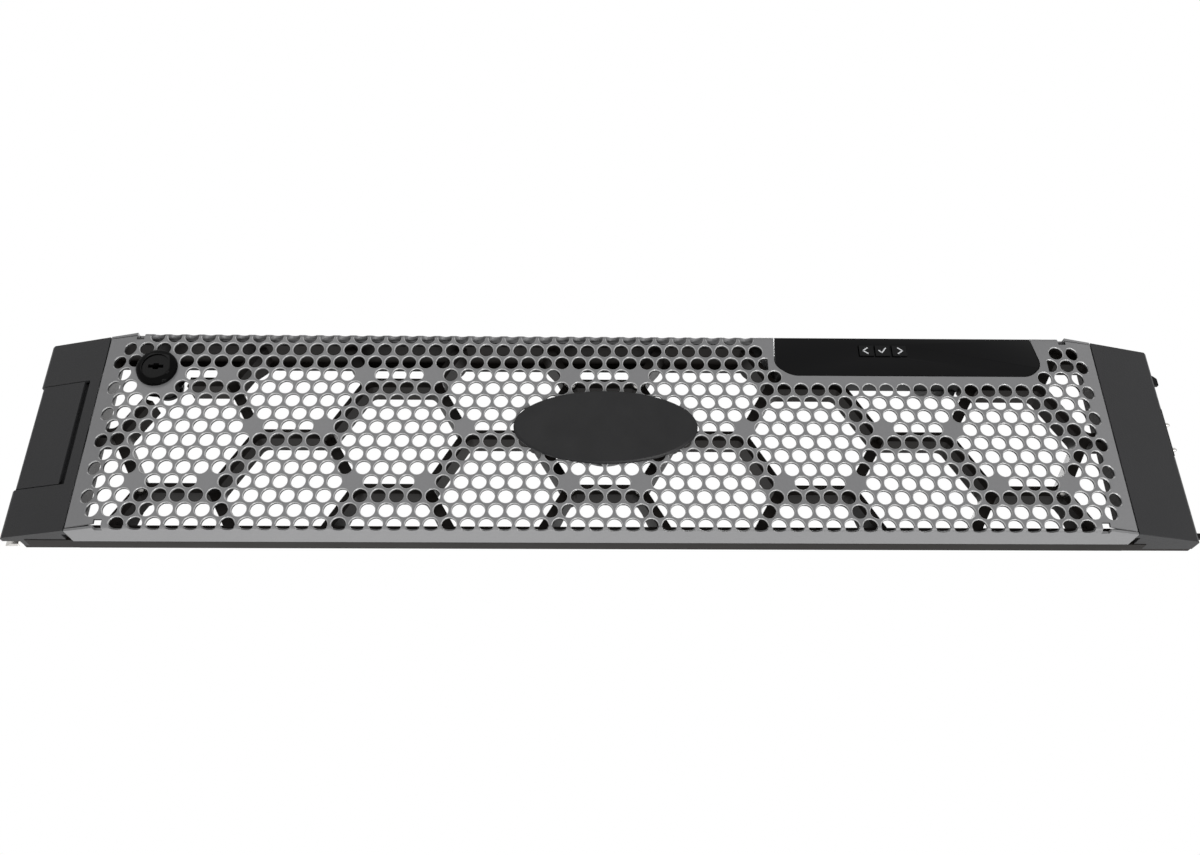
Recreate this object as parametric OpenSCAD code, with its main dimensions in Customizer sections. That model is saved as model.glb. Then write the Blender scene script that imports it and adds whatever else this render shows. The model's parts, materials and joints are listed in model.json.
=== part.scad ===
// Server front bezel: a perforated steel grille with a hexagon lattice frame
// behind it, sloped end caps, a key lock, a release latch and a small display.
// Units are millimetres. X runs to the right seen from the front, Y runs to the
// back and Z runs up. The origin is in the middle of the bottom face.

/* [Overall size] */
// Height of the bezel from the bottom flange to the top flange
height = 86.4; // [80:0.1:92]
// Depth from the front face to the rear face
depth = 20; // [18:0.1:24]
// Half of the body width, to the outer side of an end cap
half_width = 229; // [225:0.5:235]
// Width of an end cap
cap_width = 27; // [26:0.5:28]

/* [Grille sheet] */
// Thickness of the steel sheet
sheet = 1; // [0.8:0.1:1.1]
// Distance between hole centres along a row
pitch = 6.85; // [6.8:0.01:6.9]
// Diameter of the holes
hole_d = 5.6; // [4.8:0.1:5.8]
// Outer radius of the top and bottom bends
bend_r = 1.8; // [1.4:0.1:2.2]
// Width of a sloped wing, from its fold to the end of the sheet
wing_width = 11.6; // [11:0.1:12]
// Angle by which the wings slope back, in degrees
wing_angle = 15.3; // [14:0.1:16]
// Depth of the top and bottom flanges
flange_depth = 13; // [12:0.1:13.4]
// Gap between the end of the sheet and an end cap
sheet_gap = 0.5; // [0.4:0.1:0.8]

/* [Lattice frame] */
// Width of a lattice rib
rib = 4.2; // [3.6:0.1:5]
// Depth at which the ribs begin behind the front face
rib_front = 6.5; // [5:0.1:7]
// Depth at which the ribs end
rib_rear = 16.5; // [14:0.1:17.5]
// Height of the rim's rear face
rim_height = 5.7; // [5:0.1:6.5]
// Wall thickness of the frame
frame_wall = 2; // [1.6:0.1:2.4]
// Diameter of the steel posts between the sheet and the ribs
post_d = 5; // [4:0.1:6]
// Corner radius inside a hexagon opening
hex_round = 3; // [2:0.1:5]

/* [End caps] */
// Wall thickness of an end cap
cap_wall = 1.8; // [1.5:0.1:2.2]
// Height of the release button
button_height = 45.6; // [42:0.1:46.2]
// Depth of the release button's rear lip
button_lip = 1.8; // [1.4:0.1:2]

/* [Badge and lock] */
// Width of the oval badge
badge_w = 72; // [66:0.5:74]
// Height of the oval badge
badge_h = 32; // [28:0.5:34]
// Thickness of the oval badge
badge_t = 1.4; // [1:0.1:2]
// Diameter of the retainer disc behind the sheet
retainer_d = 30.4; // [28:0.1:32]
// Diameter of the lock's escutcheon
escutcheon_d = 16.3; // [15.5:0.1:17]
// Diameter of the lock's threaded barrel
barrel_d = 12; // [11.6:0.1:12.2]

/* [Display] */
// Width of a key cap
key_w = 5.8; // [5:0.1:6]
// Height of a key cap
key_h = 4.9; // [4:0.1:5.2]
// How far a key cap stands proud of the window
key_proud = 0.5; // [0.3:0.1:0.8]

/* [Hidden] */
$fn = 48;

mid = height / 2;
row = pitch * sqrt(3) / 2;
side = 4 * pitch;
hex_h = side * sqrt(3) / 2;
front = -depth / 2;
rear = depth / 2;
flange_y = front + flange_depth;
slope = tan(wing_angle);
plate_x = half_width - cap_width;
sheet_x = plate_x - sheet_gap;
fold_x = sheet_x - wing_width;
rail_front = front + 4.8;
lock_x = 23 - plate_x;
lock_z = height - 17.2;
display_x = plate_x - 79.4;
key_z = height - 7;
key_xs = [display_x - 15.6, display_x - 9, display_x - 2.1];
bolt_zs = [height - 3, 2];
slot_zs = [mid + button_height / 2 + 3.3, mid - button_height / 2 - 2.2];
guide_x = half_width - 19.4;
contact_zs = [for (i = [0 : 4]) mid + 1.95 + 1.8 * i];
guide_zs = [mid - 0.2, mid + 11.3];
contact_y = rear - 3.6;

// Rows of the hole pattern above and below the middle one, and the distance of
// the outermost rows from the bends.
edge_z = 1.674;
rows = floor((mid - edge_z - 0.8 * row) / row);
last_u = ceil(sheet_x / pitch);

// Window outline from the display's middle and the top edge.
window_shape = [[-52.8, -0.7], [-53.5, -14.1], [-47.1, -18.7], [49.9, -18.7],
  [55.1, -13.8], [52.8, -0.7]];

// Corners of the hexagons in steps of the hole pattern: with a screw and a
// steel post, with a screw alone, and with an open hole in the rib.
post_corners = [[-2, 4], [2, 4], [-2, -4], [2, -4], [-26, -4], [26, -4]];
screw_corners = [[-4, 0], [4, 0], [-16, 0], [16, 0]];
open_corners = [[-22, -4], [-14, -4], [-10, -4], [10, -4], [14, -4], [22, -4]];
plain_corners = [[-20, 0], [-8, 0], [8, 0], [20, 0], [-22, 4], [-14, 4],
  [-10, 4]];

// Places in X and Z of those corners that lie on the flat part of the sheet.
function places(corners) =
  [for (c = corners) if (abs(c[0] * pitch) < fold_x - 8)
    [c[0] * pitch, mid + c[1] * row]];
post_points = places(post_corners);
screw_points = places(screw_corners);
open_points = places(open_corners);
lattice_points = concat(post_points, screw_points);
solid_corners = concat(post_corners, screw_corners, open_corners,
  plain_corners);

// Screws of the rims, and those of the end plates.
rim_points = concat(
  [for (k = [-1 : 2]) [3 * side * k - 23.1, 2.9]],
  [for (k = [-2 : 0]) [3 * side * k + 23.1, height - 2.9]]);
right_points = [for (p = [[13.6, height - 13.1], [17.4, mid + 4.1],
  [4.9, mid - 13.3], [13.5, mid - 12.9], [5, 11.3], [13.8, 11.1]])
  [half_width - p[0], p[1]]];
left_points = [for (p = [[4.3, height - 7.5], [4, height - 15], [4.1, 15.9],
  [4.3, 7.9], [22.7, 6.7]]) [p[0] - half_width, p[1]]];
// Screws of the display's cover.
cover_points = [for (p = [[48.9, -7.6], [-19.2, -4.8], [-42.4, -7.8]])
  [display_x + p[0], height + p[1]]];

// Depth of the sloped face at a distance from the middle, beyond the fold.
function slope_y(x) = front + (x - fold_x) * slope;

// Extrudes an outline drawn in X and Z from one depth to another.
module along_y(y0, y1) {
  translate([0, y1, 0])
    rotate([90, 0, 0])
      linear_extrude(y1 - y0)
        children();
}

// Extrudes an outline drawn in Y and Z from one X to another.
module along_x(x0, x1) {
  translate([x0, 0, 0])
    rotate([90, 0, 90])
      linear_extrude(x1 - x0)
        children();
}

// A round bar along Y.
module bar_y(x, z, y0, y1, d) {
  translate([x, y0, z])
    rotate([-90, 0, 0])
      cylinder(d = d, h = y1 - y0);
}

// A block given by its two corners.
module block(a, b) {
  translate(a)
    cube(b - a);
}

// ---------------------------------------------------------------- grille

// A filled rounded corner section, used for both faces of the bent sheet.
module rounded_channel(inset, r) {
  y0 = front + inset;
  z0 = inset;
  z1 = height - inset;
  union() {
    translate([y0 + r, z0])
      square([flange_y + inset - y0 - r, z1 - z0]);
    translate([y0, z0 + r])
      square([r + 0.01, z1 - z0 - 2 * r]);
    translate([y0 + r, z0 + r])
      circle(r = r);
    translate([y0 + r, z1 - r])
      circle(r = r);
  }
}

module sheet_section() {
  intersection() {
    difference() {
      rounded_channel(0, bend_r);
      rounded_channel(sheet, bend_r - sheet);
    }
    translate([front, 0])
      square([flange_depth, height]);
  }
}

// One sloped wing with its return flange, and the flange ends above and below.
module wing() {
  len = (sheet_x - fold_x) / cos(wing_angle);
  lift = sheet + 0.3;
  translate([fold_x, front, lift])
    rotate([0, 0, wing_angle])
      cube([len, sheet, height - 2 * lift]);
  block([sheet_x - sheet, slope_y(sheet_x) + 0.05, lift],
    [sheet_x, rail_front - 0.15, height - lift]);
  for (z = [0, height - sheet])
    translate([0, 0, z])
      linear_extrude(sheet)
        polygon([[fold_x - 4, front + 3], [fold_x, front + 0.3],
          [sheet_x + 0.3, slope_y(sheet_x + 0.3) + 0.3],
          [sheet_x + 0.3, flange_y], [fold_x - 4, flange_y]]);
}

// Half of the width that stays solid around the display, at a height.
function display_margin(z) =
  z > height - 10 ? 58 : z > height - 16 ? 61 : z > height - 19.6 ? 51 : 0;

// Places in the pattern that stay solid: the corners of the lattice, the lock
// and the display.
function solid_spot(u, v) =
  len([for (c = solid_corners) if (c[0] == u && c[1] == v) 1]) > 0 ||
  abs(u * pitch - display_x) < display_margin(mid + v * row) ||
  norm([u * pitch - lock_x, mid + v * row - lock_z]) < 9.45;

// One row of holes through the front face.
module hole_row(v) {
  shift = abs(v) % 2 == 1 ? 0.5 : 0;
  for (u = [-last_u - shift : 1 : last_u + shift])
    if (abs(u * pitch) < sheet_x - 6 && !solid_spot(u, v))
      bar_y(u * pitch, mid + v * row, front - 1, front + 5.5, hole_d);
}

// Holes of an outer row, which run over the bend into the flange.
module edge_row(top) {
  shift = rows % 2 == 0 ? 0.5 : 0;
  z = top ? height - edge_z : edge_z;
  for (u = [-last_u - shift : 1 : last_u + shift])
    if (abs(u * pitch) < fold_x - 5 &&
        !(top && abs(u * pitch - display_x) < 61)) {
      bar_y(u * pitch, z, front - 1, front + 0.9, hole_d);
      translate([u * pitch, front + 0.9, top ? height - 4 : -1])
        cylinder(d = hole_d, h = 5);
    }
}

// The two holes beside the display that its plain margin cuts short.
module cut_holes() {
  u0 = floor((display_x - 56) / pitch - 0.5) + 0.5;
  u1 = ceil((display_x + 57.8) / pitch - 0.5) + 0.5;
  difference() {
    union() {
      for (u = [u0, u1])
        bar_y(u * pitch, mid + 5 * row, front - 1, front + 5.5, hole_d);
    }
    block([display_x - 56.3, front - 2, height - 22],
      [display_x + 57.8, front + 6, height - 7]);
  }
}

module grille() {
  color("DimGray")
    difference() {
      union() {
        along_x(-fold_x, fold_x)
          sheet_section();
        wing();
        mirror([1, 0, 0])
          wing();
      }
      for (v = [-rows : rows])
        hole_row(v);
      edge_row(true);
      edge_row(false);
      cut_holes();
      bar_y(lock_x, lock_z, front - 1, front + 3, barrel_d + 0.3);
      // the display opening, through the face and the top flange
      along_y(front - 1, front + 3)
        translate([display_x, height])
          polygon([[-53.1, 0.8], [-53.8, -14.25], [-47.2, -19], [50, -19],
            [55.4, -13.9], [53.1, 0.8]]);
      block([display_x - 53.1, front - 1, height - 4],
        [display_x + 53.1, flange_y + 1, height + 1]);
      // relief notches at both ends of each fold
      for (s = [-1, 1], z = [-1, height - 3.4])
        translate([s * (fold_x - 1.5) - 1.5, front - 1, z])
          cube([3, 3.6, 4.4]);
    }
}

// ------------------------------------------------------------ rear frame

// A hexagon with flats above and below and rounded corners.
module hexagon(r_flat, r_corner) {
  a = r_flat - r_corner;
  s = a / cos(30);
  union() {
    polygon([for (k = [0 : 5], e = [-1, 1])
      [s * cos(60 * k) + r_corner * cos(60 * k + 30 * e),
       s * sin(60 * k) + r_corner * sin(60 * k + 30 * e)]]);
    for (k = [0 : 5])
      translate([s * cos(60 * k), s * sin(60 * k)])
        circle(r = r_corner);
  }
}

// The lattice openings in columns, every second one half a cell higher.
module openings() {
  flat = hex_h - rib / 2;
  n = ceil(plate_x / (1.5 * side));
  for (c = [-n : n]) {
    odd = abs(c) % 2 == 1;
    for (zc = odd ? [-hex_h, hex_h] : [-2 * hex_h, 0, 2 * hex_h])
      translate([c * 1.5 * side, mid + zc])
        hexagon(flat, hex_round);
  }
}

// The inner outline of the rim.
module rim_window() {
  translate([-plate_x, 3])
    square([2 * plate_x, height - 6]);
}

module lattice_shape() {
  open = mid - 7.2;
  difference() {
    rim_window();
    openings();
    // open ends beside the plates, open corners and the lock's clearance
    for (s = [-1, 1], e = [-1, 1])
      translate([s * (plate_x - 2), mid + e * (rib + open) / 2])
        square([8, open], center = true);
    translate([lock_x, lock_z])
      circle(r = 11.4);
    translate([lock_x - 21, lock_z - 4.4])
      square([17, 22.4]);
    // the display leaves no ribs above its lower edge
    translate([display_x, height])
      polygon([[-52.6, -17.35], [-56.7, -10.2], [-60.1, -4.2], [-60.1, 2.8],
        [61.7, 2.8], [61.6, -4.2], [54.1, -17], [54.1, -17.35]]);
  }
}

// The ribs rise towards the rim above and below the lattice.
module rising_ribs() {
  rise = 14.2;
  intersection() {
    along_y(front + rib_rear - 0.01, rear)
      difference() {
        lattice_shape();
        translate([-plate_x, rise])
          square([2 * plate_x, height - 2 * rise]);
      }
    along_x(-plate_x, plate_x)
      union() {
        polygon([[front, height - rise],
          [front + rib_rear, height - rise + 0.5], [rear, height - 7.4],
          [rear, height - 5.2], [front, height - 5.2]]);
        polygon([[front, rise], [front + rib_rear, rise - 0.5], [rear, 7.4],
          [rear, 5.2], [front, 5.2]]);
      }
  }
}

// Rail along the bottom; the top rail is its mirror image.
module rail(x0, x1) {
  z1 = rim_height;
  t = frame_wall;
  s = sheet + 0.1;
  along_x(x0, x1)
    polygon([[rail_front, s], [flange_y + 0.2, s], [flange_y + 0.2, 0],
      [rear - 0.6, 0], [rear, 0.6], [rear, z1], [rear - t, z1],
      [rear - t, s + t], [rail_front, s + t]]);
}

// A plate that closes the back of one end, with a wall towards the lattice.
module end_plate() {
  x1 = half_width - 0.4;
  block([plate_x, rear - frame_wall, 0.3], [x1, rear, height - 0.3]);
  block([plate_x, front + 7.4, sheet + 0.1],
    [plate_x + 1.6, rear - 1, height - sheet - 0.1]);
}

module rear_frame() {
  color([0.22, 0.2, 0.19])
    difference() {
      union() {
        along_y(front + rib_front, front + rib_rear)
          lattice_shape();
        rising_ribs();
        rail(-plate_x - 0.05, plate_x + 0.05);
        difference() {
          translate([0, 0, height])
            mirror([0, 0, 1])
              rail(-plate_x - 0.05, plate_x + 0.05);
          block([display_x - 56.6, front, height - 17.2],
            [display_x + 58.6, rear + 1, height + 1]);
        }
        end_plate();
        mirror([1, 0, 0])
          end_plate();
        // bosses for the screws at the lattice points
        for (p = screw_points)
          bar_y(p[0], p[1], front + sheet + 0.05, front + rib_rear, 6.4);
        for (p = post_points)
          bar_y(p[0], p[1], front + rib_front, front + rib_rear, 6.4);
        // duct beside the display, from the end wall to the ribs
        block([plate_x - 17, front + 9, height - 7.4],
          [plate_x + 0.5, front + 14, height - 2.9]);
        // ends of the bottom and top bands, outside the sheet
        for (z = [0, height - 1.8]) {
          block([plate_x, flange_y + 0.2, z],
            [plate_x + 7, rear - 1, z + 1.8]);
          block([-plate_x - 18, front + 12, z], [-plate_x, rear - 1, z + 1.8]);
        }
      }
      // slots for the latch guides
      for (z = slot_zs)
        along_y(rear - 3, rear + 1)
          translate([-guide_x - 8, z])
            slot_shape(12.5, 4.1);
      // corner notches for the latch bolts
      block([-half_width - 1, rear - 4, height - 5.2],
        [6.4 - half_width, rear + 1, height]);
      block([-half_width - 1, rear - 4, 0], [6.4 - half_width, rear + 1, 4.2]);
      // the release button shows beside the left plate
      block([-half_width - 1, rear - 3, mid - button_height / 2 + 4.2],
        [5.6 - half_width, rear + 1, mid + button_height / 2 - 4.2]);
      // seat of the connector and of the hooks
      block([half_width - 12.1, rear - 3, mid - 5.7],
        [half_width + 1, rear + 1, mid + 15.9]);
      bar_y(half_width - 17.2, mid + 20.5, rear - 3, rear + 1, 3);
      for (p = open_points)
        bar_y(p[0], p[1], front, rear, 2.2);
      for (p = lattice_points)
        bar_y(p[0], p[1], front, rear, 2.06);
      for (p = rim_points)
        bar_y(p[0], p[1], rear - 3, rear + 1, 2.06);
      for (p = right_points)
        bar_y(p[0], p[1], rear - 3, rear + 1, 2.06);
      for (p = left_points)
        bar_y(p[0], p[1], rear - 3, rear + 1, 2.06);
    }
}

// A slot with round ends that begins at x = 0.
module slot_shape(length, width) {
  union() {
    translate([width / 2, -width / 2])
      square([length - width, width]);
    for (x = [width / 2, length - width / 2])
      translate([x, 0])
        circle(d = width);
  }
}

// A pan head screw along Y, head to the back, with a six-sided socket.
module screw(x, z, y_head, head_d, head_h, length) {
  difference() {
    union() {
      bar_y(x, z, y_head, y_head + head_h, head_d);
      bar_y(x, z, y_head - length, y_head, 2);
    }
    translate([x, y_head + head_h * 0.35, z])
      rotate([-90, 0, 0])
        cylinder(d = head_d * 0.42, h = head_h, $fn = 6);
  }
}

module lattice_screws() {
  color([0.1, 0.1, 0.1])
    for (p = lattice_points)
      screw(p[0], p[1], front + rib_rear, 4.2, 1.1, rib_rear - 3);
}

module rim_screws() {
  color([0.1, 0.1, 0.1])
    for (p = rim_points)
      screw(p[0], p[1], rear, 3.4, 0.7, 2.6);
}

module right_plate_screws() {
  color([0.1, 0.1, 0.1])
    for (p = right_points)
      screw(p[0], p[1], rear, 4, 0.8, 2.8);
}

module left_plate_screws() {
  color([0.1, 0.1, 0.1])
    for (p = left_points)
      screw(p[0], p[1], rear, 4, 0.8, 2.3);
}

// Steel posts pressed into the sheet, on which the ribs stand.
module sheet_posts() {
  color("Silver")
    for (p = post_points)
      difference() {
        bar_y(p[0], p[1], front + sheet, front + rib_front, post_d);
        bar_y(p[0], p[1], front + sheet + 1, front + rib_front + 1, 2.06);
      }
}

// -------------------------------------------------------------- end caps

// Plan of a cap seen from above, from the grille to the outer side.
module cap_plan(inset, back) {
  x0 = plate_x + 0.1 + inset;
  x1 = half_width - inset;
  drop = inset / cos(wing_angle);
  polygon([[x0, slope_y(x0) + drop], [x1 - 1.2, slope_y(x1 - 1.2) + drop],
    [x1, slope_y(x1) + drop + 0.9], [x1, back], [x0, back]]);
}

module cap_shell() {
  difference() {
    translate([0, 0, 0.2])
      linear_extrude(height - 0.4)
        cap_plan(0, rear - frame_wall - 0.1);
    translate([0, 0, cap_wall])
      linear_extrude(height - 2 * cap_wall)
        cap_plan(cap_wall, rear);
  }
}

module right_end_cap() {
  color([0.19, 0.19, 0.2])
    difference() {
      cap_shell();
      // notches for the frame's bands, the inner wall and the connector
      for (z = [-1, height - 1.9])
        block([plate_x, flange_y + 0.1, z], [plate_x + 7.1, rear, z + 2.9]);
      block([plate_x, front + 7.3, 0], [plate_x + 2.1, rear, height]);
      block([half_width - 12.2, rear - 9.2, mid - 5.8],
        [half_width + 1, rear, mid + 16]);
      block([half_width - 11, contact_y - 1, height - 13.6],
        [half_width + 1, rear, height - 8.2]);
      block([half_width - 11, contact_y - 1, 2.8], [half_width + 1, rear, 6.6]);
      block([half_width - 16, rear - 2.5, height - 5],
        [half_width - 10.6, rear, height + 1]);
    }
}

module left_end_cap() {
  h = button_height;
  color([0.19, 0.19, 0.2])
    difference() {
      mirror([1, 0, 0])
        cap_shell();
      for (z = [-1, height - 1.9])
        block([-plate_x - 18.1, front + 11.9, z], [-plate_x, rear, z + 2.9]);
      block([-plate_x - 2.1, front + 7.3, 0], [-plate_x, rear, height]);
      // the opening in which the release button slides
      block([-half_width - 1, front, mid - h / 2 - 0.3],
        [-plate_x - 4.7, rear, mid + h / 2 + 0.3]);
      for (z = bolt_zs)
        block([-half_width - 1, rear - 6.2, z - 1.8],
          [6.6 - half_width, rear, z + 1.8]);
    }
}

// ---------------------------------------------------------------- latch

module release_button() {
  h = button_height;
  x0 = plate_x + 7;
  x1 = half_width - 2;
  color([0.17, 0.17, 0.18])
    mirror([1, 0, 0])
      difference() {
        union() {
          // ledge that closes the gap beside the button, behind the cap's skin
          translate([0, 0, mid - h / 2])
            linear_extrude(h)
              polygon([[x0 - 2.8, slope_y(x0 - 2.8) + 2.05],
                [x0 + 0.5, slope_y(x0 + 0.5) + 2.05],
                [x0 + 0.5, slope_y(x0 + 0.5) + 2.95],
                [x0 - 2.8, slope_y(x0 - 2.8) + 2.8]]);
          translate([0, 0, mid - h / 2])
            linear_extrude(h)
              polygon([[x0, slope_y(x0)], [x1, slope_y(x1)],
                [x1 + 1, slope_y(x1 + 1) + 0.8], [x1 + 1, rear - 2.6],
                [x0, rear - 2.6]]);
          block([x1 - 1.4, rear - 3, mid - h / 2 + 4.5],
            [x1 + 1, rear - 2.6 + button_lip, mid + h / 2 - 4.5]);
        }
        translate([0, 0, mid - h / 2 + cap_wall])
          linear_extrude(h - 2 * cap_wall)
            polygon([[x0 + 1.8, slope_y(x0 + 1.8) + 1.9],
              [x1 - 0.8, slope_y(x1 - 0.8) + 1.9], [x1 - 0.8, rear - 2.6],
              [x0 + 1.8, rear - 2.6]]);
        // notches for the slider's bars
        block([x1 - 8.1, rear - 4.5, mid - h], [x1 - 0.9, rear - 2.6, mid + h]);
      }
}

// The plate that joins the button, the guides and the two bolts.
module latch_slider() {
  z0 = button_height / 2 - cap_wall - 0.1;
  z1 = button_height / 2 - cap_wall - 0.2;
  color([0.12, 0.12, 0.12])
    difference() {
      union() {
        block([2.9 - half_width, rear - 4.4, mid - z0],
          [18 - half_width, rear - 2.6, mid + z0]);
        for (z = [2, mid + z1])
          block([3 - half_width, rear - 4.4, z],
            [10 - half_width, rear - 2.6, z + mid - 2 - z1]);
        for (z = slot_zs) {
          block([5 - half_width, rear - 4.4, z - 2.1],
            [3 - guide_x, rear - 2.6, z + 2.1]);
          bar_y(-guide_x, z, rear - 2.7, rear - 0.6, 3.9);
        }
      }
      for (z = slot_zs)
        bar_y(-guide_x, z, rear - 5, rear + 1, 2.02);
    }
}

module latch_guide_screws() {
  color([0.1, 0.1, 0.1])
    for (z = slot_zs)
      difference() {
        union() {
          bar_y(-guide_x, z, rear - 0.6, rear + 0.3, 3.8);
          bar_y(-guide_x, z, rear - 4.4, rear - 0.6, 2);
        }
        translate([-guide_x, rear - 0.3, z])
          rotate([-90, 0, 0])
            cylinder(d = 1.7, h = 2, $fn = 6);
      }
}

module latch_bolts() {
  color("Silver")
    for (z = bolt_zs)
      difference() {
        block([-half_width - 1.3, rear - 2.6, z - 1.5],
          [4.1 - half_width, rear - 0.7, z + 1.5]);
        translate([-half_width - 2.5, rear - 2.6, z - 2])
          rotate([0, 0, -35])
            cube([3, 2, 4]);
      }
}

// Points of a coil of round wire along X: a ring of points at every step.
function coil_points(length, radius, wire, turns, steps) =
  [for (i = [0 : steps], k = [0 : 7])
    let (a = 360 * turns * i / steps, b = 45 * k,
      r = radius + wire / 2 * cos(b))
    [wire / 2 + (length - wire) * i / steps + wire / 2 * sin(b),
      r * cos(a), r * sin(a)]];

function coil_faces(steps) = concat(
  [[7, 6, 5, 4, 3, 2, 1, 0]],
  [for (i = [0 : steps - 1], k = [0 : 7])
    [8 * i + k, 8 * i + (k + 1) % 8, 8 * i + 8 + (k + 1) % 8, 8 * i + 8 + k]],
  [[for (k = [0 : 7]) 8 * steps + k]]);

// A coil spring between the frame's inner wall and the button.
module latch_spring() {
  color("Silver")
    translate([-plate_x - 6.95, rear - 7, mid])
      polyhedron(coil_points(5.3, 1.7, 0.5, 5, 90), coil_faces(90), 4);
}

// ----------------------------------------------------------------- lock

module lock_body() {
  y = front;
  color([0.08, 0.08, 0.08])
    translate([lock_x, y, lock_z])
      rotate([-90, 0, 0])
        difference() {
          rotate_extrude()
            polygon([[0, -2.2], [6.9, -2.2], [7.8, -1.6],
              [escutcheon_d / 2, 0], [barrel_d / 2, 0], [barrel_d / 2, 13.4],
              [barrel_d / 2 - 0.5, 13.9], [0, 13.9]]);
          translate([0, 0, -3])
            cylinder(d = 9.1, h = 20);
          translate([0, 0, -3])
            cylinder(d = 11, h = 1.9);
        }
}

module lock_cylinder() {
  color([0.14, 0.14, 0.14])
    translate([lock_x, front, lock_z])
      rotate([-90, 0, 0])
        difference() {
          union() {
            translate([0, 0, -1.7])
              cylinder(d = 10.9, h = 0.6);
            translate([0, 0, -1.7])
              cylinder(d = 9, h = 15.9);
            intersection() {
              cylinder(d = 7, h = 15.9);
              translate([-5, -2.4, 0])
                cube([10, 4.8, 16]);
            }
          }
          translate([-3, -0.75, -3])
            cube([6, 1.5, 9]);
          translate([-1.1, -1.4, -3])
            cube([2.2, 2.8, 9]);
          translate([0, 0, 8])
            cylinder(d = 2.05, h = 10);
        }
}

module lock_spacer_ring() {
  color([0.1, 0.1, 0.1])
    translate([lock_x, front + sheet, lock_z])
      rotate([-90, 0, 0])
        difference() {
          cylinder(d = 17.2, h = 3);
          translate([0, 0, -1])
            cylinder(d = barrel_d + 0.1, h = 5);
        }
}

module lock_nut() {
  color([0.08, 0.08, 0.08])
    translate([lock_x, front + sheet + 3, lock_z])
      rotate([-90, 0, 0])
        difference() {
          intersection() {
            cylinder(d = 18.8, h = 5, $fn = 6);
            rotate_extrude()
              polygon([[0, 0], [9.4, 0], [9.4, 4.2], [8.2, 5], [0, 5]]);
          }
          translate([0, 0, -1])
            cylinder(d = barrel_d + 0.02, h = 8);
        }
}

module lock_cam() {
  color([0.1, 0.1, 0.1])
    difference() {
      along_y(front + 14.3, front + 15.9)
        translate([lock_x, lock_z])
          difference() {
            union() {
              circle(d = 12);
              translate([-3.5, 0])
                square([7, 9.6]);
            }
            intersection() {
              circle(d = 7.06);
              square([10, 4.86], center = true);
            }
          }
    }
}

module lock_cam_screw() {
  color("Silver")
    difference() {
      union() {
        bar_y(lock_x, lock_z, front + 15.9, front + 17.6, 7.6);
        bar_y(lock_x, lock_z, front + 10, front + 15.9, 2);
      }
      for (a = [0, 90])
        translate([lock_x, front + 17.3, lock_z])
          rotate([0, a, 0])
            cube([4.4, 1.6, 0.8], center = true);
    }
}

// -------------------------------------------------------------- display

module display_window() {
  color([0.06, 0.06, 0.06])
    difference() {
      along_y(front + 0.1, front + 1.8)
        translate([display_x, height])
          polygon(window_shape);
      for (x = key_xs)
        block([x - key_w / 2 - 0.15, front - 1, key_z - key_h / 2 - 0.15],
          [x + key_w / 2 + 0.15, front + 3, key_z + key_h / 2 + 0.15]);
    }
}

// A tray behind the window.
module display_housing() {
  x0 = display_x - 52.2;
  x1 = display_x + 52.2;
  z0 = height - 17.1;
  color([0.09, 0.09, 0.09])
    difference() {
      block([x0, front + 1.8, z0], [x1, front + 14.9, height - 0.2]);
      block([x0 + 1.4, front + 1, z0 + 1.4],
        [x1 - 1.4, front + 13.5, height - 1.6]);
      for (p = cover_points)
        bar_y(p[0], p[1], front + 12, front + 16, 2.06);
    }
  // pegs under the board
  color([0.09, 0.09, 0.09])
    for (x = [x0 + 5.6, x1 - 5.8], z = [height - 13.2, height - 5])
      bar_y(x, z, front + 7.2, front + 13.6, 3);
}

module display_board() {
  color("DarkGreen")
    block([display_x - 50.4, front + 5.6, height - 15.5],
      [display_x + 50.4, front + 7.2, height - 2]);
}

// A light grey bracket that carries the display on the frame.
module display_bracket() {
  color("Gray")
    along_y(front + 15, front + 16)
      difference() {
        translate([display_x, height])
          polygon([[54, -17.1], [54, -2], [-56.2, -2], [-56.2, -9.7],
            [-51.8, -17.1], [-26.2, -17.1], [-23.8, -13.2], [10.6, -12],
            [3.9, -19.6], [22.8, -19.6], [24.1, -17.1]]);
        for (p = cover_points)
          translate(p)
            circle(d = 2.2);
      }
}

// The rear cover of the display, a shallow tray that fills the gap in the rim.
module display_cover() {
  color([0.22, 0.2, 0.19])
    difference() {
      union() {
        along_y(rear - 1.5, rear)
          translate([display_x, height])
            polygon([[58, 0], [-56.2, 0], [-56.2, -5.7], [-50, -5.7],
              [-49.2, -6.4], [-49.2, -11.3], [-47, -13.4], [48.4, -13.4],
              [51.4, -10.8], [52, -5.7], [58, -5.7]]);
        block([display_x - 56.2, front + 15.1, height - 1.6],
          [display_x + 58, rear - 1, height]);
        for (p = cover_points)
          bar_y(p[0], p[1], front + 16, rear - 1, 5);
      }
      for (p = cover_points)
        bar_y(p[0], p[1], front + 15, rear + 1, 2.2);
    }
}

module display_cover_screws() {
  color([0.1, 0.1, 0.1])
    for (p = cover_points)
      screw(p[0], p[1], rear, 4, 0.8, 7);
}

// A key cap with a wider foot behind the window.
module key_cap(x) {
  block([x - key_w / 2, front + 0.1 - key_proud, key_z - key_h / 2],
    [x + key_w / 2, front + 2.2, key_z + key_h / 2]);
  block([x - key_w / 2 - 0.35, front + 1.9, key_z - key_h / 2 - 0.8],
    [x + key_w / 2 + 0.35, front + 3, key_z + key_h / 2 + 0.8]);
  bar_y(x, key_z, front + 2.9, front + 4.6, 2.4);
}

module left_key() {
  color([0.11, 0.11, 0.11])
    key_cap(key_xs[0]);
}

module select_key() {
  color([0.11, 0.11, 0.11])
    key_cap(key_xs[1]);
}

module right_key() {
  color([0.11, 0.11, 0.11])
    key_cap(key_xs[2]);
}

// ---------------------------------------------------------------- badge

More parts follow.
